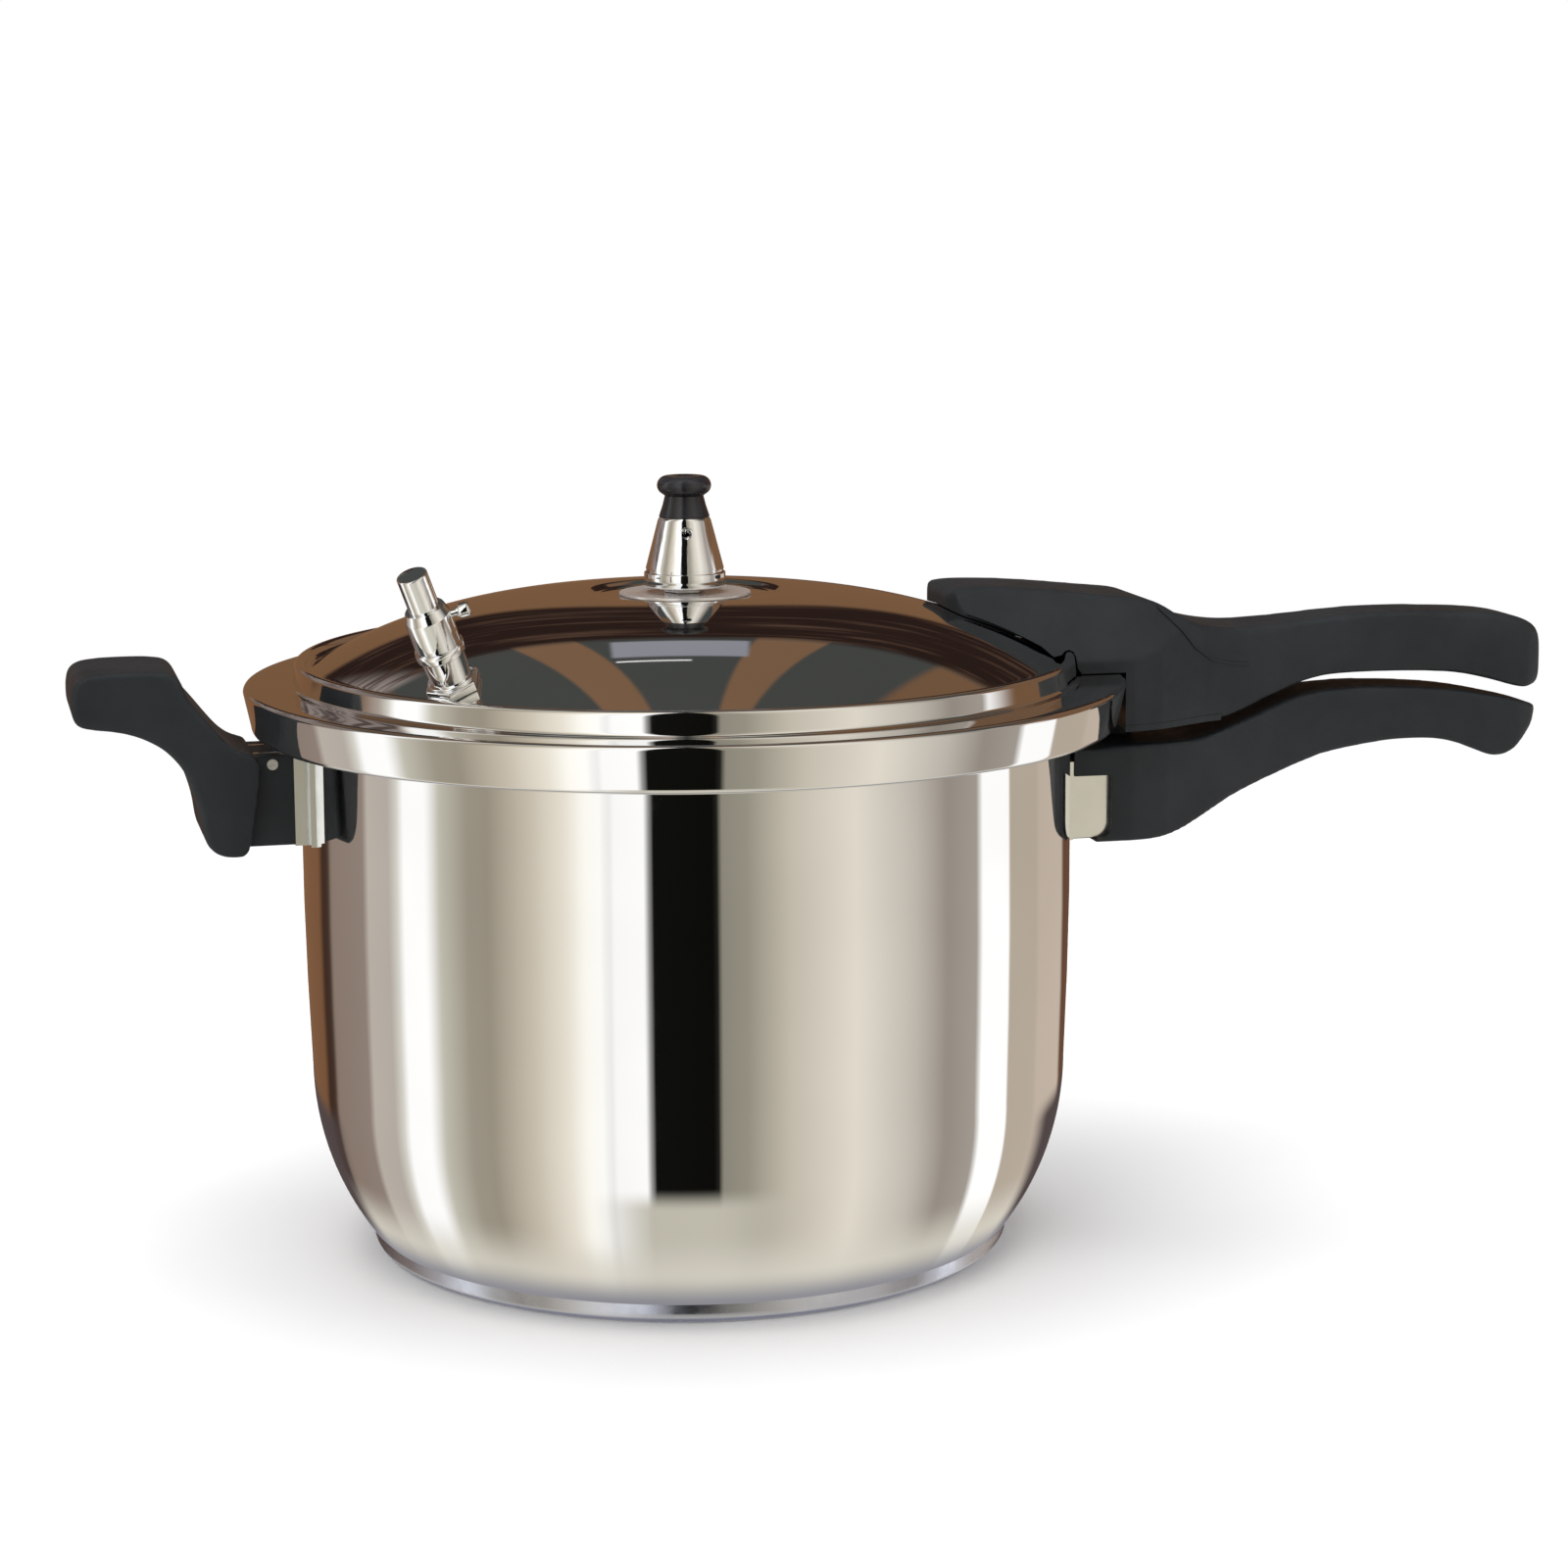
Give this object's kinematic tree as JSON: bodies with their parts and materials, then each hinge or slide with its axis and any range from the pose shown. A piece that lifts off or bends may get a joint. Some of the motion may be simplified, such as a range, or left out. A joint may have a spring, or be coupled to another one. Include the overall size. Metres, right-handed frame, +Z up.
{
  "type": "stovetop pressure cooker",
  "caption": "Round polished steel pressure cooker with a twist-on domed lid, long stacked handles, a short helper handle, a deadweight regulator and a safety valve.",
  "frame": {"origin": "centre of the base's underside, where the pot stands on the hob", "axes": "+Z up along the pot's axis, +X along the two long handles, helper handle towards -X"},
  "size_m": [0.5163, 0.2966, 0.2605],
  "materials": {
    "polished_steel": "mirror polished stainless steel",
    "base_steel": "satin stainless steel",
    "aluminium": "satin",
    "bracket_steel": "stamped stainless steel, bright",
    "valve_chrome": "polished chrome plate",
    "fastener": "bright zinc or stainless, turned",
    "bakelite": "black phenolic, satin with a fine grain",
    "knob_plastic": "black phenolic, semi-gloss",
    "silicone": "grey silicone rubber, matte",
    "black_rubber": "black rubber, matte"
  },
  "bodies": {
    "pot": {"pot_shell": "polished_steel", "heat_spreader": "aluminium", "base_cap": "base_steel", "pot_handle_bracket": "bracket_steel", "pot_handle": "bakelite", "pot_handle_screw": "fastener", "helper_bracket": "bracket_steel", "helper_handle": "bakelite", "helper_screw": "fastener"},
    "sealing_ring": {"gasket": "silicone"},
    "lid": {"lid_shell": "polished_steel", "vent_disc": "polished_steel", "vent_pipe": "fastener", "vent_gasket": "black_rubber", "vent_nut": "fastener", "anti_block_cap": "bracket_steel", "valve_body": "valve_chrome", "valve_gasket": "black_rubber", "valve_nut": "fastener", "valve_housing": "valve_chrome", "valve_spring": "fastener", "valve_side_pin": "valve_chrome", "lid_handle": "bakelite", "lid_handle_cover": "bakelite", "lid_handle_bracket": "bracket_steel", "lid_handle_screws": "fastener", "cover_screw": "fastener", "lock_lever_axle": "fastener", "lock_spring": "fastener"},
    "needle": {"weight_needle": "fastener"},
    "weight": {"weight_body": "valve_chrome", "weight_knob": "knob_plastic", "weight_screw": "fastener"},
    "plunger": {"valve_plunger": "valve_chrome"},
    "float": {"float_pin": "fastener", "float_seal": "black_rubber", "float_clip": "bracket_steel"},
    "lever": {"lock_lever": "bracket_steel"},
    "lock": {"lock_pin": "fastener"}
  },
  "joints": [
    {"name": "lid_lift", "type": "slide", "parent": "pot", "child": "sealing_ring", "axis": [0, 0, 1], "range_m": [0, 0.12]},
    {"name": "lid_turn", "type": "hinge", "parent": "sealing_ring", "child": "lid", "pos_m": [0, 0, 0.19], "axis": [0, 0, 1], "range_deg": [0, 30]},
    {"name": "weight_lift", "type": "slide", "parent": "lid", "child": "needle", "axis": [0, 0, 1], "range_m": [0, 0.03]},
    {"name": "weight_spin", "type": "hinge", "parent": "needle", "child": "weight", "pos_m": [0, 0, 0.235], "axis": [0, 0, 1], "continuous": true},
    {"name": "plunger_lift", "type": "slide", "parent": "lid", "child": "plunger", "axis": [-0.3465, -0.2907, 0.8919], "range_m": [0, 0.0025], "stiffness_N_per_m": 2500, "springref_m": -0.004, "deforming": ["valve_spring"]},
    {"name": "float_lift", "type": "slide", "parent": "lid", "child": "float", "axis": [0, 0, 1], "range_m": [0, 0.0032]},
    {"name": "lever_tilt", "type": "hinge", "parent": "lid", "child": "lever", "pos_m": [0.128, 0, 0.2112], "axis": [0, 1, 0], "range_deg": [0, 13]},
    {"name": "lock_drop", "type": "slide", "parent": "lid", "child": "lock", "axis": [0, 0, -1], "range_m": [0, 0.0058], "deforming": ["lock_spring"]}
  ],
  "couplings": [
    {"joint": "lever_tilt", "follows": "float_lift", "rad_per_m": 70.359},
    {"joint": "lock_drop", "follows": "float_lift", "ratio": 1.8}
  ]
}
